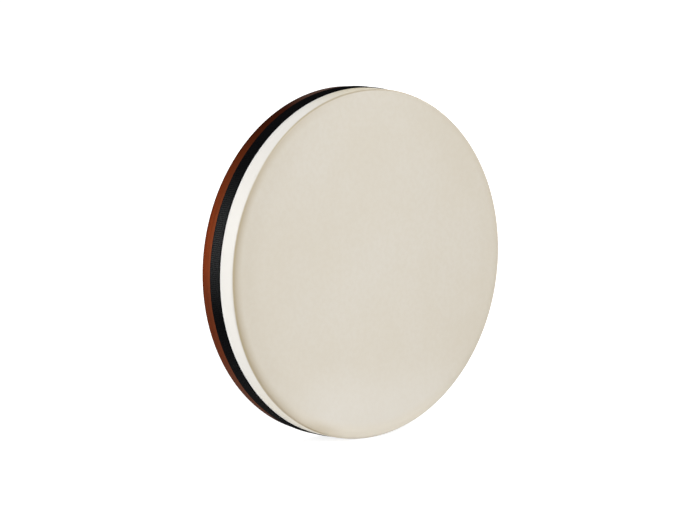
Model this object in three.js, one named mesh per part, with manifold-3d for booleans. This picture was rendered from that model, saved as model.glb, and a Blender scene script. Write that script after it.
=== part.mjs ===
// A bendir: a frame drum with a bent wooden hoop, a glued head, a woven trim tape and snare strings.
// Millimetres, +Z up. The drum stands on its rim with its axis along Y and its head towards -Y.

import * as THREE from 'three';
import { mergeVertices } from 'three/addons/utils/BufferGeometryUtils.js';
import Module from 'manifold-3d';

const wasm = await Module();
wasm.setup();

// Hoop: a board bent to a ring.
const hoopDiameter = 457.2;
const hoopThickness = 13;
const hoopDepth = 64;
const crownRadius = 26; // arc of the bearing edge, from its crest out to the corner
const cornerRadius = 3.5; // outer corner of the bearing edge
const innerEdgeRadius = 1.4;
const rearEdgeRadius = 2;

// Scarf joint of the hoop's two ends, with a blunt nib at each end of the slope.
const scarfLength = 96; // along the hoop
const scarfNib = 1.5;
const scarfGlueLine = 0.3;
const scarfAngle = 58; // degrees from the top, clockwise seen from the front

// Thumb hole at the lowest point of the hoop.
const thumbHoleDiameter = 26;
const thumbHoleFromRear = 27.5;
const thumbHoleEdgeRadius = 2;

// Head: a film drawn over the bearing edge and glued down the outside.
const headThickness = 0.45;
const headSeat = 0.1; // glue line between film and wood
const collarWidth = 33.5; // from the crest of the bearing edge down the outside

// Trim tape over the lower edge of the collar.
const tapeWidth = 20;
const tapeThickness = 0.8;
const tapeFromRear = 17.8;
const tapeSeat = 0.1;
const tapeRamp = 1.2; // length over which the tape climbs on to the collar
const tapeTrim = 0.6; // how far the tape and collar stay back from the eased thumb hole

// Snare strings across the back of the head, in kerfs over the bearing edge.
const snareCount = 3;
const snareSpacing = 16;
const snareDiameter = 1.2;
const snareCover = 0.35; // how far the string lies below the wood's surface in its kerf
const snareSeat = 0.3; // clearance of a string to its kerf and of a knot to its pocket
const knotDiameter = 3.4;
const knotFromRear = 51;

// How finely round forms are cut into flat ones.
const hoopSegments = 96;
const crownSteps = 3;
const cornerSteps = 3;
const edgeSteps = 3;
const stringSides = 8;
const holeSegments = 32;
const scarfSteps = 8;
const overcut = 3; // how far a cutting tool reaches past what it cuts
const leastBend = 0.3; // tightest corner that an inward offset may come down to

const outerRadius = hoopDiameter / 2;
const innerRadius = outerRadius - hoopThickness;
const crestRadius = innerRadius + innerEdgeRadius;
const crownCentre = hoopDepth - crownRadius;
const drumDepth = hoopDepth + headSeat + headThickness;
const collarEnd = hoopDepth - collarWidth;

// Places along the drum's axis are given from the rear edge of the hoop. Y runs from head to rear.
function axial(fromRear) {
  return drumDepth / 2 - fromRear;
}

// Points of an arc in a plane, angles in radians.
function arc(centreX, centreY, radius, from, to, steps) {
  const points = [];
  for (let i = 0; i <= steps; i += 1) {
    const angle = from + ((to - from) * i) / steps;
    points.push([centreX + radius * Math.cos(angle), centreY + radius * Math.sin(angle)]);
  }
  return points;
}

// The bearing edge as two tangent arcs: a corner that leaves the outer face, then the crown up to its crest.
// offset moves the whole edge out of the wood, or into it when negative. Points are [radius, from rear].
function bearingEdge(offset) {
  const crown = crownRadius + offset;
  const corner = Math.max(cornerRadius + offset, leastBend);
  const cornerCentre = outerRadius + offset - corner;
  const reach = crown - corner;
  const across = cornerCentre - crestRadius;
  const rise = Math.sqrt(reach * reach - across * across);
  const meeting = Math.atan2(rise, across);
  const cornerArc = arc(cornerCentre, crownCentre + rise, corner, 0, meeting, cornerSteps);
  const crownArc = arc(crestRadius, crownCentre, crown, meeting, Math.PI / 2, crownSteps);
  return cornerArc.concat(crownArc.slice(1));
}

// A closed mesh as a solid that can be joined and cut.
function solid(geometry) {
  const bare = geometry.clone();
  bare.deleteAttribute('normal');
  bare.deleteAttribute('uv');
  const merged = mergeVertices(bare, 1e-4);
  const corners = merged.index.array;
  const kept = [];
  for (let i = 0; i < corners.length; i += 3) {
    const [a, b, c] = [corners[i], corners[i + 1], corners[i + 2]];
    if (a !== b && b !== c && c !== a) kept.push(a, b, c);
  }
  const mesh = new wasm.Mesh({
    numProp: 3,
    vertProperties: new Float32Array(merged.attributes.position.array),
    triVerts: new Uint32Array(kept),
  });
  return new wasm.Manifold(mesh);
}

// A solid back as a three.js geometry.
function geometryOf(body) {
  const mesh = body.getMesh();
  const geometry = new THREE.BufferGeometry();
  geometry.setAttribute('position', new THREE.BufferAttribute(mesh.vertProperties, 3));
  geometry.setIndex(new THREE.BufferAttribute(mesh.triVerts, 1));
  geometry.computeVertexNormals();
  return geometry;
}

// A profile of [radius, from rear] points, run anticlockwise, turned about the drum's axis.
// A flat of the ring lies at its lowest point.
function revolve(profile) {
  const points = profile.map(([radius, fromRear]) => new THREE.Vector2(radius, axial(fromRear))).reverse();
  return solid(new THREE.LatheGeometry(points, hoopSegments, Math.PI / hoopSegments));
}

// An outline of [x, y] points as a straight bar along Z, from low to high.
function bar(outline, low, high) {
  const shape = new THREE.Shape(outline.map(([x, y]) => new THREE.Vector2(x, y)));
  const geometry = new THREE.ExtrudeGeometry(shape, { depth: high - low, bevelEnabled: false });
  geometry.translate(0, 0, low);
  return geometry;
}

// Hoop.

function hoopRing() {
  const rear = rearEdgeRadius;
  const inner = innerEdgeRadius;
  const quarter = Math.PI / 2;
  const profile = [
    ...arc(innerRadius + rear, rear, rear, 2 * quarter, 3 * quarter, edgeSteps),
    ...arc(outerRadius - rear, rear, rear, 3 * quarter, 4 * quarter, edgeSteps),
    ...bearingEdge(0),
    ...arc(crestRadius, hoopDepth - inner, inner, quarter, 2 * quarter, edgeSteps).slice(1),
  ];
  profile.push(profile[0]);
  return revolve(profile);
}

// The thin slope between the two ends: radial at each nib, and climbing from inside to outside between them.
function scarfCut() {
  const middle = THREE.MathUtils.degToRad(90 - scarfAngle);
  const half = scarfLength / outerRadius / 2;
  const lowest = innerRadius + scarfNib;
  const highest = outerRadius - scarfNib;
  const path = [[middle - half, innerRadius - overcut]];
  for (let i = 0; i <= scarfSteps; i += 1) {
    const share = i / scarfSteps;
    path.push([middle - half + 2 * half * share, lowest + (highest - lowest) * share]);
  }
  path.push([middle + half, outerRadius + overcut]);
  const side = (sign) => path.map(([angle, radius]) => {
    const shifted = angle - (sign * scarfGlueLine) / 2 / radius;
    const out = radius + (sign * scarfGlueLine) / 2;
    return [out * Math.cos(shifted), out * Math.sin(shifted)];
  });
  const outline = side(1).concat(side(-1).reverse());
  const geometry = bar(outline, -drumDepth, drumDepth);
  geometry.rotateX(Math.PI / 2);
  return solid(geometry);
}

// A tool for the thumb hole, straight through the wall and flared at both faces.
function thumbHoleTool() {
  const radius = thumbHoleDiameter / 2;
  const edge = thumbHoleEdgeRadius;
  const mouth = radius + edge;
  const quarter = Math.PI / 2;
  const profile = [
    [0, -overcut],
    [mouth, -overcut],
    ...arc(mouth, edge, edge, 3 * quarter, 2 * quarter, edgeSteps),
    ...arc(mouth, hoopThickness - edge, edge, 2 * quarter, quarter, edgeSteps),
    [mouth, hoopThickness + overcut],
    [0, hoopThickness + overcut],
  ];
  return upThroughRim(profile);
}

// A plain round tool that trims the tape and the collar back from the flare of the thumb hole.
function trimTool() {
  const radius = thumbHoleDiameter / 2 + thumbHoleEdgeRadius + tapeTrim;
  return upThroughRim([[0, -overcut], [radius, -overcut], [radius, hoopThickness], [0, hoopThickness]]);
}

// A profile of [radius, height above the hoop's lowest point], turned about the thumb hole's axis.
function upThroughRim(profile) {
  const points = profile.map(([radius, height]) => new THREE.Vector2(radius, height));
  const geometry = new THREE.LatheGeometry(points, holeSegments);
  geometry.rotateX(Math.PI / 2);
  geometry.translate(0, axial(thumbHoleFromRear), -outerRadius);
  return solid(geometry);
}

// Snare strings.

function snareHeight(index) {
  return (index - (snareCount - 1) / 2) * snareSpacing;
}

// Where a [radius, from rear] point of the rim lies on the level of a string, as [x, y].
function onLevel([radius, fromRear], height) {
  return [Math.sqrt(radius * radius - height * height), axial(fromRear)];
}

// The middle of a string in its kerf, from its knot up the outer face and over the bearing edge.
function snareEnd(height) {
  const inset = snareCover + snareDiameter / 2;
  const knot = [outerRadius - knotInset(), knotFromRear];
  const leave = [outerRadius - inset, knotFromRear + knotDiameter / 2];
  return [knot, leave, ...bearingEdge(-inset)].map((point) => onLevel(point, height));
}

function knotInset() {
  return snareSeat + snareCover + knotDiameter / 2;
}

// A round string along a path that keeps to one level, with flat ends.
function stringAlong(path, height) {
  const positions = [];
  const corners = [];
  const count = path.length;
  path.forEach(([x, y], i) => {
    const [beforeX, beforeY] = path[Math.max(i - 1, 0)];
    const [afterX, afterY] = path[Math.min(i + 1, count - 1)];
    const run = Math.hypot(afterX - beforeX, afterY - beforeY);
    const sideX = -(afterY - beforeY) / run;
    const sideY = (afterX - beforeX) / run;
    for (let k = 0; k < stringSides; k += 1) {
      const angle = (2 * Math.PI * k) / stringSides;
      const out = (Math.cos(angle) * snareDiameter) / 2;
      positions.push(x + sideX * out, y + sideY * out, height + (Math.sin(angle) * snareDiameter) / 2);
    }
  });
  for (let i = 0; i + 1 < count; i += 1) {
    for (let k = 0; k < stringSides; k += 1) {
      const a = i * stringSides + k;
      const b = i * stringSides + ((k + 1) % stringSides);
      corners.push(a, b, a + stringSides, b, b + stringSides, a + stringSides);
    }
  }
  const last = (count - 1) * stringSides;
  for (let k = 1; k + 1 < stringSides; k += 1) {
    corners.push(0, k + 1, k, last, last + k, last + k + 1);
  }
  const geometry = new THREE.BufferGeometry();
  geometry.setAttribute('position', new THREE.Float32BufferAttribute(positions, 3));
  geometry.setIndex(corners);
  return solid(geometry);
}

function snareString(height) {
  const right = snareEnd(height);
  const left = right.map(([x, y]) => [-x, y]);
  let body = stringAlong([...left, ...right.reverse()], height);
  for (const [x, y] of [left[0], right[right.length - 1]]) {
    const knot = new THREE.SphereGeometry(knotDiameter / 2, 12, 8);
    knot.rotateX(Math.PI / 2);
    knot.translate(x, y, height);
    body = body.add(solid(knot));
  }
  return body;
}

// The kerf and the knot pocket of one string at one side of the hoop, side being 1 or -1.
function snareSeatCut(height, side) {
  const width = snareDiameter + 2 * snareSeat;
  const floor = snareCover + snareDiameter + snareSeat;
  const faceX = onLevel([outerRadius, 0], height)[0];
  const boreX = onLevel([innerRadius, 0], height)[0];
  const bottom = [outerRadius - floor, knotFromRear];
  const outline = [bottom, ...bearingEdge(-floor)].map((point) => onLevel(point, height));
  const crestY = outline[outline.length - 1][1];
  outline.push([boreX - overcut, crestY], [boreX - overcut, axial(hoopDepth + overcut)]);
  outline.push([faceX + overcut, axial(hoopDepth + overcut)], [faceX + overcut, axial(knotFromRear)]);
  const mirrored = outline.map(([x, y]) => [side * x, y]);
  const kerf = solid(bar(mirrored, height - width / 2, height + width / 2));

  const pocketRadius = knotDiameter / 2 + snareSeat;
  const depth = knotInset() + knotDiameter / 2 + snareSeat;
  const pocket = new THREE.CylinderGeometry(pocketRadius, pocketRadius, depth + overcut, holeSegments / 2);
  pocket.rotateZ(Math.PI / 2);
  pocket.translate(side * (faceX + (overcut - depth) / 2), axial(knotFromRear), height);
  return kerf.add(solid(pocket));
}

function frameHoop() {
  let body = hoopRing().subtract(scarfCut()).subtract(thumbHoleTool());
  for (let i = 0; i < snareCount; i += 1) {
    for (const side of [1, -1]) body = body.subtract(snareSeatCut(snareHeight(i), side));
  }
  return body;
}

// Head: the same bearing edge twice, once at each face of the film.
function drumHead() {
  const under = headSeat;
  const over = headSeat + headThickness;
  const profile = [
    [0, hoopDepth + under],
    ...bearingEdge(under).reverse(),
    [outerRadius + under, collarEnd],
    [outerRadius + over, collarEnd],
    ...bearingEdge(over),
    [0, hoopDepth + over],
  ];
  return revolve(profile).subtract(trimTool());
}

// Tape: flat on the wood behind, then up over the edge of the collar and flat on that.
function trimBand() {
  const onWood = outerRadius + tapeSeat;
  const onCollar = outerRadius + headSeat + headThickness + tapeSeat;
  const path = [
    [onWood, tapeFromRear],
    [onWood, collarEnd - tapeSeat - tapeRamp],
    [onCollar, collarEnd - tapeSeat],
    [onCollar, tapeFromRear + tapeWidth],
  ];
  const inner = path.slice().reverse();
  const outer = path.map(([radius, fromRear]) => [radius + tapeThickness, fromRear]);
  return revolve([...outer, ...inner, outer[0]]).subtract(trimTool());
}

// Assembly.

const stainedWood = new THREE.MeshStandardMaterial({ color: 0x793a23, roughness: 0.45, metalness: 0 });
const paleFilm = new THREE.MeshStandardMaterial({ color: 0xded8c9, roughness: 0.5, metalness: 0 });
const blackTape = new THREE.MeshStandardMaterial({ color: 0x1c1b1b, roughness: 0.9, metalness: 0 });
const snareGut = new THREE.MeshStandardMaterial({ color: 0xcdb88a, roughness: 0.4, metalness: 0 });

function piece(name, body, material) {
  const mesh = new THREE.Mesh(geometryOf(body), material);
  mesh.name = name;
  return mesh;
}

const drum = new THREE.Group();
drum.add(piece('frame_hoop', frameHoop(), stainedWood));
drum.add(piece('drum_head', drumHead(), paleFilm));
drum.add(piece('trim_band', trimBand(), blackTape));
for (let i = 0; i < snareCount; i += 1) {
  drum.add(piece(`snare_string_${i + 1}`, snareString(snareHeight(i)), snareGut));
}

// The drum stands on the lowest point of its rim.
drum.position.z = -new THREE.Box3().setFromObject(drum).min.z;

const bendir = new THREE.Group();
bendir.add(drum);

export default bendir;
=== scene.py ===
import math
import bmesh
import bpy
import numpy as np
from mathutils import Matrix, Vector


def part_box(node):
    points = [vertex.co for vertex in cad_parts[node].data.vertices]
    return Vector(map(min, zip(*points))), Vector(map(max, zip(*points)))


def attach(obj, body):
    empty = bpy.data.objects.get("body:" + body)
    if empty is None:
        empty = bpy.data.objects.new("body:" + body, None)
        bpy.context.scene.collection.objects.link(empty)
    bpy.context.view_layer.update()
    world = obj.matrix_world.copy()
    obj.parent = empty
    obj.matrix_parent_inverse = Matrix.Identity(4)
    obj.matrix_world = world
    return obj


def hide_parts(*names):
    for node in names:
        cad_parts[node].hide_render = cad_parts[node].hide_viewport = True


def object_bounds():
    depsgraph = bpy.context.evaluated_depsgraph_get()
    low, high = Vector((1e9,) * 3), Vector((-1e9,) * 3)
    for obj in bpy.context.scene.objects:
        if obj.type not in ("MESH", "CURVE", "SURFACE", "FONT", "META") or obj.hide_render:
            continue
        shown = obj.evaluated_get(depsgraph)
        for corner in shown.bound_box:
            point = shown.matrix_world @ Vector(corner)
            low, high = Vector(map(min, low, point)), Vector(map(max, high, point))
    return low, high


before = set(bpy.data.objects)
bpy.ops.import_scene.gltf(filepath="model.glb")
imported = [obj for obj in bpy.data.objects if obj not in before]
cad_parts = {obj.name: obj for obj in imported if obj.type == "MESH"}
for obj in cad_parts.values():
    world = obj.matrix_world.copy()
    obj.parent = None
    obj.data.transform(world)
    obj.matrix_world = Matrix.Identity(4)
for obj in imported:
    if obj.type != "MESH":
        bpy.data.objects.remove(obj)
cad_low, cad_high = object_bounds()

# The hoop: one hardwood board, steamed, bent to a ring and closed by a glued scarf joint.
# Its front edge is crowned to carry the head, its other edges are eased, and a thumb hole goes through
# its lowest point. It is stained red-brown and left matt.
hoop_radius = 0.2286
hoop_wall = 0.013
hoop_depth = 0.064
crown_radius = 0.026
corner_radius = 0.0035
least_corner_radius = 0.0003
inner_edge_radius = 0.0014
rear_edge_radius = 0.002
bore_radius = hoop_radius - hoop_wall
crest_radius = bore_radius + inner_edge_radius
crown_centre = hoop_depth - crown_radius
scarf_length = 0.096
scarf_nib = 0.0015
scarf_glue_line = 0.0003
slanted_glue_line = 0.0011
scarf_angle = math.radians(58)
thumb_hole_radius = 0.013
thumb_hole_flare = 0.002
thumb_hole_from_rear = 0.0275
snare_count = 3
snare_spacing = 0.016
snare_radius = 0.0006
snare_cover = 0.00035
snare_seat = 0.0003
knot_radius = 0.0017
knot_from_rear = 0.051

rear_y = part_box("frame_hoop")[1].y
head_low, head_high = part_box("drum_head")
axis_z = (head_low.z + head_high.z) / 2


def arc(centre, radius, start, end, steps):
    """Points of a circular arc: the centre plus the radius along evenly spaced angles, in radians."""
    angle = np.linspace(start, end, steps + 1)
    return np.column_stack([centre[0] + radius * np.cos(angle), centre[1] + radius * np.sin(angle)])


def straight(start, end, steps):
    """Points of a straight run: evenly spaced shares of the way from start to end."""
    share = np.linspace(0, 1, steps + 1)[:, None]
    return (1 - share) * np.array(start) + share * np.array(end)


def bearing_edge(offset, corner_steps, crown_steps):
    """Profile (radius, from rear) of the crowned edge: a corner arc that leaves the outer face, then the
    flatter crown arc, tangent to it, up to the crest. The offset moves both out of the wood, or into it."""
    corner = max(corner_radius + offset, least_corner_radius)
    crown = crown_radius + offset
    corner_centre = hoop_radius + offset - corner
    across = corner_centre - crest_radius
    rise = math.sqrt((crown - corner) ** 2 - across ** 2)
    meeting = math.atan2(rise, across)
    corner_arc = arc((corner_centre, crown_centre + rise), corner, 0, meeting, corner_steps)
    crown_arc = arc((crest_radius, crown_centre), crown, meeting, math.pi / 2, crown_steps)
    return np.vstack([corner_arc, crown_arc[1:]])


def turned(radius, from_rear, angle):
    """Points at a radius from the drum's axis and an angle from the top, clockwise seen from the front:
    x is radius times sine, z is the axis plus radius times cosine, and y runs back to the rear edge."""
    x = radius * np.sin(angle)
    z = axis_z + radius * np.cos(angle)
    return np.stack(np.broadcast_arrays(x, rear_y - from_rear, z), axis=-1)


def grid_faces(index):
    """Quads between neighbouring points of a grid of point numbers."""
    corners = [index[:-1, :-1], index[:-1, 1:], index[1:, 1:], index[1:, :-1]]
    return np.stack(corners, axis=-1).reshape(-1, 4).tolist()


def ring_faces(rows, columns):
    """Faces of a grid that goes round in both directions, as a profile carried round the drum does."""
    index = np.arange(rows * columns).reshape(rows, columns)
    index = np.vstack([index, index[:1]])
    return grid_faces(np.hstack([index, index[:, :1]]))


def tube_faces(rows, columns):
    """Faces of a grid whose rows are closed outlines: quads between the rows, a flat face on each end."""
    index = np.arange(rows * columns).reshape(rows, columns)
    sides = grid_faces(np.hstack([index, index[:, :1]]))
    return sides + [index[0].tolist(), index[-1].tolist()]


def solid_piece(name, points, faces, sharp_degrees=40):
    """An object at the origin from a closed surface, faces turned outwards, smooth up to an edge angle."""
    mesh = bpy.data.meshes.new(name)
    mesh.from_pydata(points.reshape(-1, 3).tolist(), [], faces)
    edit = bmesh.new()
    edit.from_mesh(mesh)
    bmesh.ops.recalc_face_normals(edit, faces=edit.faces)
    edit.to_mesh(mesh)
    edit.free()
    mesh.shade_smooth()
    mesh.set_sharp_from_angle(angle=math.radians(sharp_degrees))
    piece = bpy.data.objects.new(name, mesh)
    bpy.context.scene.collection.objects.link(piece)
    return piece


def hoop_profile():
    """Closed outline (radius, from rear) of the hoop's wall: the rear edge, the outer face, the crowned
    edge and the inner face."""
    quarter = math.pi / 2
    rear, inner = rear_edge_radius, inner_edge_radius
    corner_start = bearing_edge(0, 1, 1)[0]
    inner_end = (bore_radius, hoop_depth - inner)
    outline = [
        arc((bore_radius + rear, rear), rear, 2 * quarter, 3 * quarter, 8),
        arc((hoop_radius - rear, rear), rear, 3 * quarter, 4 * quarter, 8),
        straight((hoop_radius, rear), corner_start, 16)[1:-1],
        bearing_edge(0, 8, 10),
        arc((crest_radius, hoop_depth - inner), inner, quarter, 2 * quarter, 6)[1:],
        straight(inner_end, (bore_radius, rear), 16)[1:-1],
    ]
    return np.vstack(outline)


def ring_angles(count, dense_count, dense_half):
    """Angles round the drum, even all the way and closer together for a stretch about the lowest point."""
    even = np.linspace(0, 2 * math.pi, count, endpoint=False)
    dense = np.linspace(math.pi - dense_half, math.pi + dense_half, dense_count)
    return np.concatenate([even[even < dense[0]], dense, even[even > dense[-1]]])


def thumb_hole_cut():
    """The thumb hole as a body to cut away: a circle whose radius flares at the wood's two faces, with the
    height of each end counted from the curved face there, so that the flare is even all round."""
    turn = np.linspace(0, 2 * math.pi, 64, endpoint=False)
    flare = np.linspace(0, math.radians(82), 8)
    widen = thumb_hole_radius + thumb_hole_flare * (1 - np.cos(flare))
    depth = thumb_hole_flare * (1 - np.sin(flare))
    past = 0.004
    mouth = [widen[-1] + past / 2]
    radius = np.concatenate([mouth, widen[::-1], widen, mouth])[:, None]
    lower = np.concatenate([[-past], depth[::-1]])[:, None]
    upper = np.concatenate([depth, [-past]])[:, None]
    x = radius * np.sin(turn)
    y = rear_y - thumb_hole_from_rear + radius * np.cos(turn)
    outer_face = axis_z - np.sqrt(hoop_radius ** 2 - x ** 2)
    inner_face = axis_z - np.sqrt(bore_radius ** 2 - x ** 2)
    half = len(lower)
    z = np.vstack([outer_face[:half] + lower, inner_face[half:] - upper])
    return np.stack([x, y, z], axis=-1)


def snare_level(number):
    """Height of a snare string above the drum's axis; the strings lie evenly about it."""
    return (number - (snare_count - 1) / 2) * snare_spacing


def on_level(profile, level):
    """Points (x, y) where a profile of (radius, from rear) crosses a level: x is the rest of the radius."""
    return np.column_stack([np.sqrt(profile[:, 0] ** 2 - level ** 2), rear_y - profile[:, 1]])


def kerf_cut(level, side):
    """The saw kerf of one string: the space in front of a line one string deep in the bearing edge, as an
    outline on the string's level carried up and down by half the kerf's width."""
    floor = snare_cover + 2 * snare_radius + snare_seat
    half_width = snare_radius + snare_seat
    line = np.vstack([[hoop_radius - floor, knot_from_rear], bearing_edge(-floor, 6, 6)])
    line = on_level(line, level)
    past = 0.003
    inside = line[-1, 0] - 2 * past
    outside = hoop_radius + past
    front = rear_y - hoop_depth - past
    around = [[inside, line[-1, 1]], [inside, front], [outside, front], [outside, line[0, 1]]]
    outline = np.vstack([line, around]) * [side, 1]
    levels = axis_z + level + np.array([-half_width, half_width])
    flat = np.broadcast_to(outline, (2, *outline.shape))
    return np.concatenate([flat, np.broadcast_to(levels[:, None, None], (2, len(outline), 1))], axis=-1)


def pocket_cut(level, side):
    """The round pocket of one knot: a circle carried straight in from the outer face."""
    turn = np.linspace(0, 2 * math.pi, 24, endpoint=False)
    radius = knot_radius + snare_seat
    face = math.sqrt(hoop_radius ** 2 - level ** 2)
    past = 0.003
    ends = np.array([face + past, face - snare_cover - 2 * radius])[:, None]
    x = side * np.broadcast_to(ends, (2, len(turn)))
    y = np.broadcast_to(rear_y - knot_from_rear + radius * np.cos(turn), x.shape)
    z = np.broadcast_to(axis_z + level + radius * np.sin(turn), x.shape)
    return np.stack([x, y, z], axis=-1)


def cut_away(piece, cuts):
    """The piece less each body in turn, worked out exactly and left as its plain mesh."""
    for points in cuts:
        tool = solid_piece("cut", points, tube_faces(*points.shape[:2]))
        cutter = piece.modifiers.new("cut", "BOOLEAN")
        cutter.operation = "DIFFERENCE"
        cutter.solver = "EXACT"
        cutter.object = tool
        bpy.context.view_layer.update()
        shaped = piece.evaluated_get(bpy.context.evaluated_depsgraph_get())
        mesh = bpy.data.meshes.new_from_object(shaped)
        piece.modifiers.clear()
        piece.data = mesh
        bpy.data.objects.remove(tool)
    piece.data.name = piece.name


def new_finish(name):
    """A material still to be filled in, with its node tree and its Principled shader."""
    finish = bpy.data.materials.new(name)
    finish.use_nodes = True
    tree = finish.node_tree
    return finish, tree, tree.nodes["Principled BSDF"]


def feed(tree, socket, value):
    """Links a node's output to a socket, or sets the socket to a plain value."""
    if isinstance(value, bpy.types.NodeSocket):
        tree.links.new(value, socket)
    else:
        socket.default_value = value


def calc(tree, operation, *values):
    """One step of arithmetic on numbers and outputs."""
    node = tree.nodes.new("ShaderNodeMath")
    node.operation = operation
    for socket, value in zip(node.inputs, values):
        feed(tree, socket, value)
    return node.outputs[0]


def spread(tree, value, low, high, new_low=0.0, new_high=1.0):
    """The value carried smoothly from the range low to high over to a new range, and held beyond it."""
    node = tree.nodes.new("ShaderNodeMapRange")
    node.interpolation_type = "SMOOTHSTEP"
    for socket, number in zip(node.inputs, (value, low, high, new_low, new_high)):
        feed(tree, socket, number)
    return node.outputs[0]


def noise(tree, place, along, across, through, detail=2.0, roughness=0.55):
    """Cloud noise from 0 to 1 with so many lumps to a metre in each direction of the place."""
    stretch = tree.nodes.new("ShaderNodeVectorMath")
    stretch.operation = "MULTIPLY"
    feed(tree, stretch.inputs[0], place)
    stretch.inputs[1].default_value = (along, across, through)
    node = tree.nodes.new("ShaderNodeTexNoise")
    feed(tree, node.inputs["Vector"], stretch.outputs[0])
    node.inputs["Scale"].default_value = 1
    node.inputs["Detail"].default_value = detail
    node.inputs["Roughness"].default_value = roughness
    return node.outputs[0]


def mixed(tree, share, first, second):
    """Two colours mixed by a share of the second. A mix node has its colours in inputs 6 and 7, and the
    mixed colour in output 2."""
    node = tree.nodes.new("ShaderNodeMix")
    node.data_type = "RGBA"
    feed(tree, node.inputs[0], share)
    feed(tree, node.inputs[6], first)
    feed(tree, node.inputs[7], second)
    return node.outputs[2]


def bumped(tree, height, strength, distance):
    """A surface normal tilted by the slope of a height."""
    node = tree.nodes.new("ShaderNodeBump")
    node.inputs["Strength"].default_value = strength
    node.inputs["Distance"].default_value = distance
    feed(tree, node.inputs["Height"], height)
    return node.outputs["Normal"]


def paint(red, green, blue):
    """An sRGB colour from 0 to 255 as the linear colour that shaders take."""
    share = np.array([red, green, blue]) / 255
    linear = np.where(share <= 0.04045, share / 12.92, ((share + 0.055) / 1.055) ** 2.4)
    return (*linear.tolist(), 1.0)


def drum_place(tree):
    """Object coordinates as seen from the drum's axis: the place, x, distance from the axis, y, and z above
    the axis."""
    coordinates = tree.nodes.new("ShaderNodeTexCoord")
    centre = tree.nodes.new("ShaderNodeMapping")
    centre.inputs["Location"].default_value = (0, 0, -axis_z)
    tree.links.new(coordinates.outputs["Object"], centre.inputs["Vector"])
    parts = tree.nodes.new("ShaderNodeSeparateXYZ")
    tree.links.new(centre.outputs["Vector"], parts.inputs["Vector"])
    x, y, z = parts.outputs
    across = calc(tree, "ADD", calc(tree, "MULTIPLY", x, x), calc(tree, "MULTIPLY", z, z))
    return centre.outputs["Vector"], x, calc(tree, "SQRT", across), y, z


def scarf_place(tree, x, radius, z):
    """Where a point of the wood lies about the scarf: its share of the way up the joint's slope, and its
    angle on from the joint, whose own angle falls evenly from the bore to the outer face."""
    slope = calc(tree, "SUBTRACT", radius, bore_radius + scarf_nib)
    slope = calc(tree, "DIVIDE", slope, hoop_wall - 2 * scarf_nib)
    share = calc(tree, "MAXIMUM", calc(tree, "MINIMUM", slope, 1.0), 0.0)
    half = scarf_length / hoop_radius / 2
    joint = calc(tree, "MULTIPLY_ADD", share, -2 * half, scarf_angle + half)
    turn = calc(tree, "SUBTRACT", calc(tree, "ARCTAN2", x, z), joint)
    return slope, calc(tree, "WRAP", turn, 2 * math.pi, 0.0)


def stain_and_painted_light(tree, colour, x, radius, from_rear, z):
    """The stain's colour with its uneven tones, and painted light laid on. It is paler towards the tape and
    gathers at the rear edge. On the outside painted shade makes it darker high and low, a painted sheen
    makes it greyer at the top and a painted reflection of the floor greyer near the foot. On one side
    painted shade blackens the foot and a band along the tape's rear edge."""
    outside = spread(tree, radius, hoop_radius - 0.003, hoop_radius - 0.001)
    # Paler towards the tape on the outside.
    paler_to_tape = calc(tree, "MULTIPLY", spread(tree, from_rear, 0.006, 0.018, 0.0, 0.5), outside)
    colour = mixed(tree, paler_to_tape, colour, paint(156, 82, 49))
    gathered = spread(tree, from_rear, 0.0005, 0.006, 0.6, 0.0)
    colour = mixed(tree, gathered, colour, paint(74, 24, 8))
    exposed = spread(tree, outside, 0.0, 1.0, 0.2, 1.0)
    # Painted shade: darker low and high on the outside, where less light falls.
    low = calc(tree, "MULTIPLY", spread(tree, z, -0.055, 0.05, 0.70, 0.0), exposed)
    colour = mixed(tree, low, colour, paint(72, 36, 23))
    high = calc(tree, "MULTIPLY", spread(tree, z, 0.02, 0.22), exposed)
    colour = mixed(tree, high, colour, paint(46, 16, 6))
    # Painted sheen: greyer along the very top, as a grazing reflection there.
    top_sheen = calc(tree, "MULTIPLY", spread(tree, z, 0.203, 0.238), exposed)
    colour = mixed(tree, top_sheen, colour, paint(88, 66, 56))
    # Painted reflection of the pale floor: greyer low on the outside.
    floor_reflection = calc(tree, "MULTIPLY", spread(tree, z, -0.165, -0.085, 0.6, 0.0), exposed)
    colour = mixed(tree, floor_reflection, colour, paint(97, 66, 53))
    # Painted shade on one side: the foot near black, and a dark band along the tape's rear edge, wider
    # lower down.
    shaded_side = calc(tree, "MULTIPLY", spread(tree, x, -0.06, 0.03, 1.0, 0.0), outside)
    foot = calc(tree, "MULTIPLY", spread(tree, z, -0.208, -0.188, 0.95, 0.0), shaded_side)
    colour = mixed(tree, foot, colour, paint(18, 11, 9))
    tape_edge_shadow = calc(tree, "ADD", from_rear, spread(tree, z, -0.19, -0.055, 0.0050, 0.0))
    tape_edge_shadow = calc(tree, "MULTIPLY", spread(tree, tape_edge_shadow, 0.0172, 0.0186), shaded_side)
    return mixed(tree, tape_edge_shadow, colour, paint(18, 14, 13))


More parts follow.
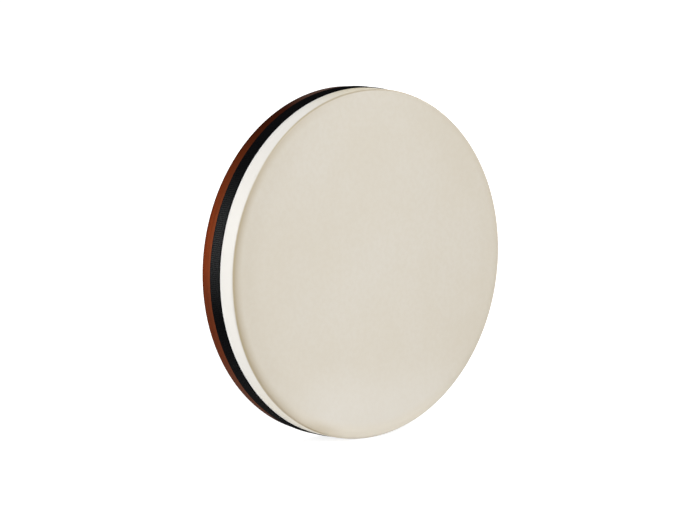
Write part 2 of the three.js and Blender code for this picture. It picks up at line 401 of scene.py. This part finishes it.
def stained_wood():
    """Long grain that follows the bend of the board: blotches of stain, streaks and fine pores, all drawn
    on (along the hoop, across it, through it), starting anew at the slope of the scarf. A dark line marks
    the scarf's glue."""
    finish, tree, shader = new_finish("stained_wood")
    x, radius, y, z = drum_place(tree)[1:]
    slope, turn = scarf_place(tree, x, radius, z)
    board = tree.nodes.new("ShaderNodeCombineXYZ")
    feed(tree, board.inputs[0], calc(tree, "MULTIPLY", turn, hoop_radius))
    feed(tree, board.inputs[1], y)
    feed(tree, board.inputs[2], radius)
    board = board.outputs[0]

    blotch = noise(tree, board, 6, 45, 45, 3)
    streak = noise(tree, board, 10, 420, 420, 4, 0.6)
    pores = spread(tree, noise(tree, board, 130, 2600, 2600, 2), 0.60, 0.72)
    tone = calc(tree, "MULTIPLY_ADD", streak, 0.45, calc(tree, "MULTIPLY", blotch, 0.55))
    tone = spread(tree, tone, 0.34, 0.66)
    colour = mixed(tree, tone, paint(92, 35, 16), paint(134, 59, 28))
    colour = mixed(tree, calc(tree, "MULTIPLY", pores, 0.35), colour, paint(62, 24, 12))
    colour = stain_and_painted_light(tree, colour, x, radius, calc(tree, "SUBTRACT", rear_y, y), z)

    near_joint = calc(tree, "MINIMUM", turn, calc(tree, "SUBTRACT", 2 * math.pi, turn))
    on_slope = calc(tree, "COMPARE", slope, 0.5, 0.499)
    half_line = calc(tree, "MULTIPLY_ADD", on_slope, slanted_glue_line, scarf_glue_line / 2)
    glue = calc(tree, "LESS_THAN", calc(tree, "MULTIPLY", near_joint, radius), half_line)
    colour = mixed(tree, calc(tree, "MULTIPLY", glue, 0.8), colour, paint(48, 20, 10))
    height = calc(tree, "MULTIPLY_ADD", pores, -0.6, calc(tree, "MULTIPLY", streak, 0.5))
    height = calc(tree, "SUBTRACT", height, glue)
    feed(tree, shader.inputs["Base Color"], colour)
    feed(tree, shader.inputs["Roughness"], spread(tree, streak, 0.3, 0.7, 0.38, 0.48))
    feed(tree, shader.inputs["Normal"], bumped(tree, height, 0.35, 0.0002))
    shader.inputs["Specular IOR Level"].default_value = 0.001
    return finish


angles = ring_angles(count=480, dense_count=61, dense_half=0.09)
profile = hoop_profile()
hoop_points = turned(profile[:, :1], profile[:, 1:], angles)
frame_hoop = solid_piece("hoop", hoop_points, ring_faces(*hoop_points.shape[:2]))
snare_seats = [(snare_level(number), side) for number in range(snare_count) for side in (1, -1)]
cuts = [thumb_hole_cut()]
cuts += [kerf_cut(level, side) for level, side in snare_seats]
cuts += [pocket_cut(level, side) for level, side in snare_seats]
cut_away(frame_hoop, cuts)
frame_hoop.data.set_sharp_from_angle(angle=math.radians(40))
frame_hoop.data.materials.append(stained_wood())
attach(frame_hoop, "root")
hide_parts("frame_hoop")

# The snares: three strings of twisted gut across the back of the head, which make it buzz.
# Each lies in a saw kerf over the bearing edge and is held by a stopper knot in a pocket in the wood.
snare_lay = 0.0065
snare_strands = 3
strand_swell = 0.06


def snare_path(level):
    """Middle line of a string: a straight span at the crest, over the bearing edge to each side, down the
    outer face, and a knot at each end, which is a small trefoil curve."""
    inset = snare_cover + snare_radius
    edge = on_level(bearing_edge(-inset, 8, 10), level)
    leave = np.array([[hoop_radius - inset, knot_from_rear + knot_radius]])
    edge = np.vstack([on_level(leave, level), edge])
    span = straight(edge[-1] * [-1, 1], edge[-1], 440)
    knot_depth = hoop_radius - snare_seat - snare_cover - knot_radius
    knot = on_level(np.array([[knot_depth, knot_from_rear]]), level)[0]
    turn = np.linspace(math.radians(60), math.radians(390), 40)
    loop = (knot_radius - snare_radius) / 3
    trefoil = np.column_stack([
        knot[0] + loop * (np.sin(turn) + 2 * np.sin(2 * turn)),
        knot[1] + loop * (np.cos(turn) - 2 * np.cos(2 * turn)),
        -loop * np.sin(3 * turn),
    ])
    flat = np.zeros((len(edge), 1))
    right = np.vstack([trefoil[::-1], np.hstack([edge, flat])])
    middle = np.hstack([span, np.zeros((len(span), 1))])[1:-1]
    return np.vstack([right * [-1, 1, 1], middle, right[::-1]]) + [0, 0, axis_z + level]


def twisted_string(path):
    """A round string with three strands: at each point of the path, a circle whose radius swells once per
    strand, turned on by the length run so far over the length of one lay."""
    ahead = np.gradient(path, axis=0)
    ahead = ahead / np.linalg.norm(ahead, axis=1, keepdims=True)
    side = np.cross(ahead, [0, 0, 1])
    side = side / np.linalg.norm(side, axis=1, keepdims=True)
    up = np.cross(side, ahead)
    step = np.linalg.norm(np.diff(path, axis=0), axis=1)
    length = np.concatenate([[0], np.cumsum(step)])[:, None]
    turn = np.linspace(0, 2 * math.pi, 12, endpoint=False)
    twist = turn - 2 * math.pi * length / snare_lay
    radius = snare_radius * (1 - strand_swell + strand_swell * np.cos(snare_strands * twist))
    out = np.cos(turn)[:, None] * side[:, None, :] + np.sin(turn)[:, None] * up[:, None, :]
    points = path[:, None, :] + radius[..., None] * out
    lay = np.stack(np.broadcast_arrays(twist / (2 * math.pi), length), axis=-1)
    return points, lay


def set_uv(piece, name, place):
    """Gives the piece a UV map from one (u, v) pair per point."""
    mesh = piece.data
    corner = np.empty(len(mesh.loops), dtype=np.int32)
    mesh.loops.foreach_get("vertex_index", corner)
    mesh.uv_layers.new(name=name).data.foreach_set("uv", place.reshape(-1, 2)[corner].ravel())


def snare_gut():
    """Pale amber gut with painted shade: a darker furrow between the strands, from the UV map's turn about
    the string.
    """
    finish, tree, shader = new_finish("snare_gut")
    lay = tree.nodes.new("ShaderNodeUVMap")
    lay.uv_map = "lay"
    parts = tree.nodes.new("ShaderNodeSeparateXYZ")
    tree.links.new(lay.outputs["UV"], parts.inputs["Vector"])
    wave = calc(tree, "COSINE", calc(tree, "MULTIPLY", parts.outputs[0], 2 * math.pi * snare_strands))
    # Painted shade in the furrow between the strands.
    furrow = spread(tree, wave, -1.0, -0.2, 1.0, 0.0)
    cloud = noise(tree, lay.outputs["UV"], 2, 90, 1, 2)
    colour = mixed(tree, cloud, paint(196, 174, 126), paint(218, 200, 158))
    colour = mixed(tree, calc(tree, "MULTIPLY", furrow, 0.5), colour, paint(140, 112, 66))
    feed(tree, shader.inputs["Base Color"], colour)
    feed(tree, shader.inputs["Roughness"], spread(tree, cloud, 0.3, 0.7, 0.32, 0.45))
    return finish


gut = snare_gut()
for number in range(snare_count):
    points, lay = twisted_string(snare_path(snare_level(number)))
    snare = solid_piece(f"snare_{number + 1}", points, tube_faces(*points.shape[:2]))
    set_uv(snare, "lay", lay)
    snare.data.materials.append(gut)
    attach(snare, "root")
    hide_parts(f"snare_string_{number + 1}")

# The head: one piece of pale synthetic film, flat over the opening, drawn down over the crowned edge and
# glued to the outside of the hoop as a collar. The collar is cut back round the thumb hole.
film_thickness = 0.00045
film_seat = 0.0001
hub_radius = 0.002
collar_width = 0.0335
collar_end = hoop_depth - collar_width
trim_clearance = 0.0006
trim_radius = thumb_hole_radius + thumb_hole_flare + trim_clearance
# The painted shade on the rim is strongest towards -X, turned a little from it by this angle.
shade_lean_angle = math.radians(-3)
shade_radius = 0.206
shade_width = 0.0215
# The colour that the film's painted shade mixes towards.
film_shade_colour = paint(174, 158, 127)


def film_face(offset, angle):
    """One face of the film as (radius, from rear) for each row and angle: out over the flat, over the
    bearing edge, and down to the collar's end, which near the thumb hole follows the round cut about it."""
    front = hoop_depth + offset
    flat = straight((hub_radius, front), (crest_radius, front), 24)[:-1]
    edge = np.vstack([flat, bearing_edge(offset, 14, 20)[::-1]])
    radius = np.repeat(edge[:, :1], len(angle), axis=1)
    from_rear = np.repeat(edge[:, 1:], len(angle), axis=1)
    sideways = np.where(np.cos(angle) > 0, np.inf, np.abs(hoop_radius * np.sin(angle)))
    cut = thumb_hole_from_rear + np.sqrt(np.maximum(trim_radius ** 2 - sideways ** 2, 0))
    end = np.maximum(collar_end, cut)
    share = np.linspace(0, 1, 13)[1:, None]
    collar = (1 - share) * from_rear[-1:] + share * end
    return np.vstack([radius, np.full(collar.shape, hoop_radius + offset)]), np.vstack([from_rear, collar])


def rim_tones(tree, colour, x, radius, z):
    """The film's colour towards the rim, with painted shade and light laid on. Painted shade deepens it
    over the crown, more on one side than on the other, in the crease where the collar turns down, and
    beside the foot.
    Painted light makes it lighter and warmer along the foot, and paler low on the flat."""
    # Painted shade over the crown: full towards one side and half as strong towards the other.
    lean = calc(tree, "MULTIPLY", x, -math.cos(shade_lean_angle))
    to_side = calc(tree, "MULTIPLY_ADD", z, math.sin(shade_lean_angle), lean)
    to_side = calc(tree, "DIVIDE", to_side, hoop_radius)
    drawn = calc(tree, "MAXIMUM", to_side, calc(tree, "MULTIPLY", to_side, -0.5))
    towards_rim = calc(tree, "DIVIDE", calc(tree, "SUBTRACT", radius, shade_radius), shade_width)
    towards_rim = calc(tree, "MAXIMUM", calc(tree, "MINIMUM", towards_rim, 1.0), 0.0)
    rim_shade = calc(tree, "MULTIPLY", calc(tree, "POWER", towards_rim, 2.9), calc(tree, "POWER", drawn, 1.2))
    near_rim = calc(tree, "MULTIPLY", spread(tree, radius, 0.178, shade_radius, 0.0, 0.085), drawn)
    rim_shade = calc(tree, "MAXIMUM", rim_shade, near_rim)
    # Painted shade in the crease where the collar turns down, weaker at the foot.
    crease = calc(tree, "MULTIPLY", spread(tree, radius, 0.2266, 0.2280, 0.0, 0.78),
                  spread(tree, z, -0.223, -0.207, 0.15, 1.0))
    rim_shade = calc(tree, "MAXIMUM", rim_shade, crease)
    # Painted shade beside the foot, a little towards -X of it.
    foot_side_shade = spread(tree, calc(tree, "ABSOLUTE", calc(tree, "ADD", x, 0.080)), 0.0, 0.045, 0.25, 0.0)
    foot_side_shade = calc(tree, "MULTIPLY", foot_side_shade, spread(tree, z, -0.205, -0.180, 1.0, 0.0))
    foot_side_shade = calc(tree, "MULTIPLY", foot_side_shade, spread(tree, towards_rim, 0.2, 0.7))
    rim_shade = calc(tree, "ADD", rim_shade, foot_side_shade)
    # Painted light from below: the film is lighter and warmer low towards the rim.
    lowest = calc(tree, "MULTIPLY", spread(tree, z, -0.225, -0.155, 0.9, 0.0), towards_rim)
    colour = mixed(tree, lowest, colour, paint(234, 226, 211))
    # Painted light from the floor: paler low on the flat.
    paler = calc(tree, "MULTIPLY", spread(tree, z, -0.205, -0.115, 0.28, 0.0),
                 spread(tree, towards_rim, 0.0, 0.6, 1.0, 0.2))
    colour = mixed(tree, paler, colour, paint(236, 234, 230))
    return mixed(tree, rim_shade, colour, film_shade_colour)


def collar_tones(tree, colour, x, from_rear, z):
    """The film's colour with that of the collar laid over it up to the glue's edge, which wavers a little:
    off-white, with painted shade making it creamier at the top and the foot, and painted light making it
    whiter beside the tape, against the tape's shadow there."""
    waver = calc(tree, "MINIMUM", spread(tree, z, -0.19, -0.01, -0.0016, 0.0005),
                 spread(tree, z, 0.12, 0.21, 0.0005, -0.0009))
    glued = spread(tree, calc(tree, "SUBTRACT", from_rear, waver), 0.0605, 0.0622, 1.0, 0.0)
    # Painted shade: the collar is creamier at the top.
    collar_top_shade = spread(tree, calc(tree, "ABSOLUTE", x), 0.0, 0.115, 1.0, 0.0)
    collar_top_shade = calc(tree, "MULTIPLY", collar_top_shade, spread(tree, z, 0.0, 0.1))
    collar = mixed(tree, collar_top_shade, paint(222, 219, 213), paint(199, 188, 160))
    # Painted shade: the collar is creamier at the foot.
    collar = mixed(tree, spread(tree, z, -0.2, -0.11, 1.0, 0.0), collar, paint(226, 219, 203))
    colour = mixed(tree, glued, colour, collar)
    # Painted light: whiter beside the tape, against the tape's shadow there, but not at the top.
    tape_shadow_lift = spread(tree, from_rear, 0.0385, 0.0425, 0.9, 0.0)
    tape_shadow_lift = calc(tree, "MULTIPLY", tape_shadow_lift, calc(tree, "SUBTRACT", 1.0, collar_top_shade))
    return mixed(tree, tape_shadow_lift, colour, paint(233, 231, 227))


def head_film():
    """Cream film with faint clouds and flecks in it, and painted shade a little deeper to both sides, with
    the tones of the rim and of the glued collar laid over, painted shade and light among them."""
    finish, tree, shader = new_finish("head_film")
    place, x, radius, y, z = drum_place(tree)
    cloud = noise(tree, place, 9, 9, 9, 3)
    fleck = noise(tree, place, 160, 160, 160, 3)
    colour = mixed(tree, spread(tree, cloud, 0.3, 0.7), paint(217, 210, 196), paint(219, 213, 201))
    colour = mixed(tree, spread(tree, fleck, 0.35, 0.65, 0.0, 0.25), colour, paint(212, 203, 186))
    # Painted shade: the flat deepens towards both sides, more towards +X.
    sideways = calc(tree, "MAXIMUM", x, calc(tree, "MULTIPLY", x, -0.55))
    colour = mixed(tree, spread(tree, sideways, 0.0, 0.2, 0.0, 0.09), colour, film_shade_colour)
    colour = rim_tones(tree, colour, x, radius, z)
    colour = collar_tones(tree, colour, x, calc(tree, "SUBTRACT", rear_y, y), z)
    feed(tree, shader.inputs["Base Color"], colour)
    feed(tree, shader.inputs["Roughness"], spread(tree, cloud, 0.3, 0.7, 0.38, 0.44))
    feed(tree, shader.inputs["Normal"], bumped(tree, fleck, 0.06, 0.0003))
    shader.inputs["Specular IOR Level"].default_value = 0.25
    return finish


outer_radius, outer_depth = film_face(film_seat + film_thickness, angles)
inner_radius, inner_depth = film_face(film_seat, angles)
film_points = turned(
    np.vstack([outer_radius, inner_radius[::-1]]),
    np.vstack([outer_depth, inner_depth[::-1]]),
    angles,
)
drum_head = solid_piece("head", film_points, tube_faces(*film_points.shape[:2]))
drum_head.data.materials.append(head_film())
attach(drum_head, "root")
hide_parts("drum_head")

# The trim: a black woven tape glued round the hoop over the end of the collar, half on wood and half on
# film. It starts and ends at the thumb hole, where both ends are cut to its curve.
tape_width = 0.020
tape_thickness = 0.0009
tape_seat = 0.0001
tape_from_rear = 0.0178
tape_ramp = 0.0012
tape_rows = 541
edge_cord_rise = 0.10
edge_cord_inset = 0.0011
edge_cord_width = 0.0005
rib_pitch = 0.0026
cord_pitch = 0.0036
# Angle from the top where the tape's painted sheen is greatest.
sheen_place = math.radians(78)


def tape_section(steps):
    """Outline of the tape's cross-section as (share of the width, share of half the thickness): two faces
    whose distance closes in a round edge at each selvage, with a slightly thicker cord just inside it."""
    turn = np.linspace(0, 2 * math.pi, steps, endpoint=False)
    across = 0.5 - 0.5 * np.sign(np.cos(turn)) * np.abs(np.cos(turn)) ** 0.5
    edge = np.minimum(across, 1 - across) * tape_width
    round_edge = np.sqrt(1 - (1 - np.clip(edge / (tape_thickness / 2), 0, 1)) ** 2)
    cord = edge_cord_rise * np.exp(-((edge - edge_cord_inset) / edge_cord_width) ** 2)
    height = round_edge * (1 - edge_cord_rise + cord)
    return across, np.where(np.sin(turn) >= 0, height, -height)


def tape_wander(angle):
    """How far the tape strays to the front at an angle round the hoop: two faint waves all the way, plus a
    swell high on the left, less a dip low on the left."""
    waves = 0.00010 * np.sin(7 * angle) + 0.00006 * np.sin(23 * angle + 1)
    high_left = np.clip((-angle - 0.8) / 1.05, 0, 1)
    low_left = np.clip((-angle - 1.9) / 1.15, 0, 1)
    swell = 0.0006 * np.sin(math.pi * high_left) ** 2
    dip = 0.0016 * np.sin(math.pi * low_left ** 1.6) ** 2
    return waves + swell - dip


def tape_points():
    """The tape carried round the hoop: its inner face stands on the wood, climbs over the film's edge and
    stands on the film, and its outer face, bedded in glue, runs level. Each line of points runs from one
    end to the other, and both ends are cut to an arc about the thumb hole."""
    across, height = tape_section(72)
    from_rear = tape_from_rear + across * tape_width
    climb = np.clip((from_rear - collar_end + tape_seat + tape_ramp) / tape_ramp, 0, 1)
    climb = climb ** 2 * (3 - 2 * climb)
    film_step = film_seat + film_thickness
    thickness = tape_thickness + (1 - climb) * film_step
    radius = hoop_radius + tape_seat + film_step + tape_thickness - thickness / 2
    end = np.sqrt(trim_radius ** 2 - (from_rear - thumb_hole_from_rear) ** 2)
    end = np.arcsin(end / hoop_radius)
    share = np.linspace(-1, 1, tape_rows)[:, None]
    angle = share * (math.pi - end)
    points = turned(radius + height * thickness / 2, from_rear + tape_wander(angle), angle)
    weave = np.stack(np.broadcast_arrays(angle * hoop_radius, from_rear), axis=-1)
    return points, weave


def woven_tape():
    """Black plain weave: ribs across the tape crossed by wider cords along it, uneven from yarn to yarn,
    with an even, closer selvage at both edges. A painted sheen makes it greyer at a place on each side, and
    it is greyer, less so, towards the lower part. All of it is drawn on the UV map, in metres."""
    finish, tree, shader = new_finish("woven_tape")
    weave = tree.nodes.new("ShaderNodeUVMap")
    weave.uv_map = "weave"
    parts = tree.nodes.new("ShaderNodeSeparateXYZ")
    tree.links.new(weave.outputs["UV"], parts.inputs["Vector"])
    along, across = parts.outputs[0], parts.outputs[1]
    drift = noise(tree, weave.outputs["UV"], 220, 180, 1, 2)
    along = calc(tree, "MULTIPLY_ADD", drift, 0.0006, along)
    rib = calc(tree, "SINE", calc(tree, "MULTIPLY", along, 2 * math.pi / rib_pitch))
    cord = calc(tree, "SINE", calc(tree, "MULTIPLY", across, 2 * math.pi / cord_pitch))
    crossing = calc(tree, "MULTIPLY_ADD", calc(tree, "MULTIPLY", rib, cord), 0.8, rib)
    crossing = calc(tree, "MULTIPLY_ADD", crossing, 0.28, 0.5)
    yarn = spread(tree, noise(tree, weave.outputs["UV"], 620, 460, 1, 3, 0.7), 0.33, 0.67)
    height = calc(tree, "MULTIPLY_ADD", crossing, 0.6, calc(tree, "MULTIPLY", yarn, 0.4))
    edge = calc(tree, "MINIMUM", calc(tree, "SUBTRACT", across, tape_from_rear),
                calc(tree, "SUBTRACT", tape_from_rear + tape_width, across))
    selvage = spread(tree, edge, 0.0004, 0.0022, 1.0, 0.0)
    lit = spread(tree, height, 0.15, 0.85)
    colour = mixed(tree, lit, paint(3, 3, 4), paint(20, 20, 21))
    # Painted sheen: greyer about a place on each side; also greyer, less so, towards the lower part.
    turn = calc(tree, "ABSOLUTE", calc(tree, "DIVIDE", parts.outputs[0], hoop_radius))
    sheen_and_low_grey = calc(tree, "ABSOLUTE", calc(tree, "SUBTRACT", turn, sheen_place))
    sheen_and_low_grey = spread(tree, sheen_and_low_grey, 0.0, 0.47, 1.0, 0.0)
    low_grey = spread(tree, turn, 1.8, 2.75, 0.0, 0.6)
    sheen_and_low_grey = calc(tree, "MAXIMUM", sheen_and_low_grey, low_grey)
    colour = mixed(tree, sheen_and_low_grey, colour, mixed(tree, lit, paint(16, 16, 17), paint(55, 56, 56)))
    colour = mixed(tree, calc(tree, "MULTIPLY", selvage, 0.7), colour, paint(9, 9, 10))
    feed(tree, shader.inputs["Base Color"], colour)
    feed(tree, shader.inputs["Normal"], bumped(tree, height, 0.6, 0.00025))
    shader.inputs["Roughness"].default_value = 0.85
    shader.inputs["Specular IOR Level"].default_value = 0.0
    return finish


points, weave = tape_points()
trim_band = solid_piece("trim_tape", points, tube_faces(*points.shape[:2]), sharp_degrees=60)
set_uv(trim_band, "weave", weave)
trim_band.data.materials.append(woven_tape())
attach(trim_band, "root")
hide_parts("trim_band")

# The studio: a pale floor that fades into a white surround, a broad soft lamp high in front, others to the
# left, to the right and behind, and a low even fill from the surround.
floor_half = 12
fill_level = 0.12
floor_level = -0.00015
floor_corners = np.array([[-1, -1, 0], [1, -1, 0], [1, 1, 0], [-1, 1, 0]])
floor_points = floor_corners * floor_half + [0, 0, floor_level]


def seen_directly(tree):
    """1 for rays from the camera or from a mirror or glass surface, 0 for light that falls on things."""
    path = tree.nodes.new("ShaderNodeLightPath").outputs
    sharp = calc(tree, "MAXIMUM", path["Is Glossy Ray"], path["Is Transmission Ray"])
    return calc(tree, "MAXIMUM", path["Is Camera Ray"], sharp)


def pale_floor():
    """Matt floor. Seen directly it is lifted to white away from the drum, and keeps a light shadow under
    it."""
    finish, tree = new_finish("pale_floor")[:2]
    tree.nodes.clear()
    plain = tree.nodes.new("ShaderNodeBsdfDiffuse")
    plain.inputs["Color"].default_value = (0.9, 0.9, 0.9, 1)
    shaded = tree.nodes.new("ShaderNodeBsdfDiffuse")
    shaded.inputs["Color"].default_value = (0.42, 0.42, 0.42, 1)
    place = tree.nodes.new("ShaderNodeTexCoord").outputs["Object"]
    distance = tree.nodes.new("ShaderNodeVectorMath")
    distance.operation = "LENGTH"
    tree.links.new(place, distance.inputs[0])
    lift = tree.nodes.new("ShaderNodeEmission")
    feed(tree, lift.inputs["Strength"], spread(tree, distance.outputs["Value"], 0.3, 1.5, 0.86, 1.0))
    lifted = tree.nodes.new("ShaderNodeAddShader")
    tree.links.new(shaded.outputs[0], lifted.inputs[0])
    tree.links.new(lift.outputs[0], lifted.inputs[1])
    choice = tree.nodes.new("ShaderNodeMixShader")
    feed(tree, choice.inputs[0], seen_directly(tree))
    tree.links.new(plain.outputs[0], choice.inputs[1])
    tree.links.new(lifted.outputs[0], choice.inputs[2])
    output = tree.nodes.new("ShaderNodeOutputMaterial")
    tree.links.new(choice.outputs[0], output.inputs["Surface"])
    return finish


floor = solid_piece("floor", floor_points, [[0, 1, 2, 3]])
floor.data.materials.append(pale_floor())

world = bpy.data.worlds.new("surround")
world.use_nodes = True
bpy.context.scene.world = world
surround = world.node_tree.nodes["Background"]
surround.inputs["Color"].default_value = (1, 1, 1, 1)
direct = seen_directly(world.node_tree)
level = calc(world.node_tree, "MULTIPLY_ADD", direct, 1 - fill_level, fill_level)
feed(world.node_tree, surround.inputs["Strength"], level)


def direction(azimuth, elevation):
    """Unit vector from the drum towards a place round it, in degrees: azimuth 0 is in front, 90 at +X."""
    turn, rise = math.radians(azimuth), math.radians(elevation)
    flat = math.cos(rise)
    return Vector((math.sin(turn) * flat, -math.cos(turn) * flat, math.sin(rise)))


drum_centre = Vector((0, (cad_low.y + cad_high.y) / 2, axis_z))


def softbox(name, azimuth, elevation, distance, width, height, power):
    """A flat white lamp that faces the drum from a place round it, in metres and watts."""
    lamp = bpy.data.lights.new(name, "AREA")
    lamp.shape = "RECTANGLE"
    lamp.size = width
    lamp.size_y = height
    lamp.energy = power
    box = bpy.data.objects.new(name, lamp)
    towards = direction(azimuth, elevation)
    box.location = drum_centre + towards * distance
    box.rotation_euler = towards.to_track_quat("Z", "Y").to_euler()
    box.visible_camera = False
    bpy.context.scene.collection.objects.link(box)


softbox("key_softbox", azimuth=5, elevation=42, distance=8.0, width=4.0, height=5.0, power=480)
softbox("left_softbox", azimuth=-108, elevation=18, distance=2.5, width=1.2, height=1.0, power=37.5)
softbox("right_softbox", azimuth=112, elevation=30, distance=6.0, width=4.0, height=4.0, power=150)
softbox("rear_softbox", azimuth=195, elevation=10, distance=4.0, width=2.0, height=1.2, power=40)

# The camera: on the drum's left, a little above its middle, far off with a long lens.
# Its place, aim and lens put the drum's outline where the photograph has it.
camera_azimuth = -40.445
camera_elevation = 7.876
camera_distance = 4.9575
camera_aim_y = 0.000525
camera_sideways = -0.005537
camera_upwards = -0.000376
camera_lens = 195.0

back = direction(camera_azimuth, camera_elevation)
camera_turn = math.radians(camera_azimuth)
right = Vector((math.cos(camera_turn), math.sin(camera_turn), 0))
up = back.cross(right)
aim = Vector((0, camera_aim_y, axis_z))
place = aim + back * camera_distance + right * camera_sideways + up * camera_upwards
view = bpy.data.cameras.new("camera")
view.sensor_width = 36
view.lens = camera_lens
view.clip_end = 100
camera = bpy.data.objects.new("camera", view)
camera.matrix_world = Matrix((
    (right.x, up.x, back.x, place.x),
    (right.y, up.y, back.y, place.y),
    (right.z, up.z, back.z, place.z),
    (0, 0, 0, 1),
))
bpy.context.scene.collection.objects.link(camera)
bpy.context.scene.camera = camera
bpy.context.scene.view_settings.view_transform = "Standard"
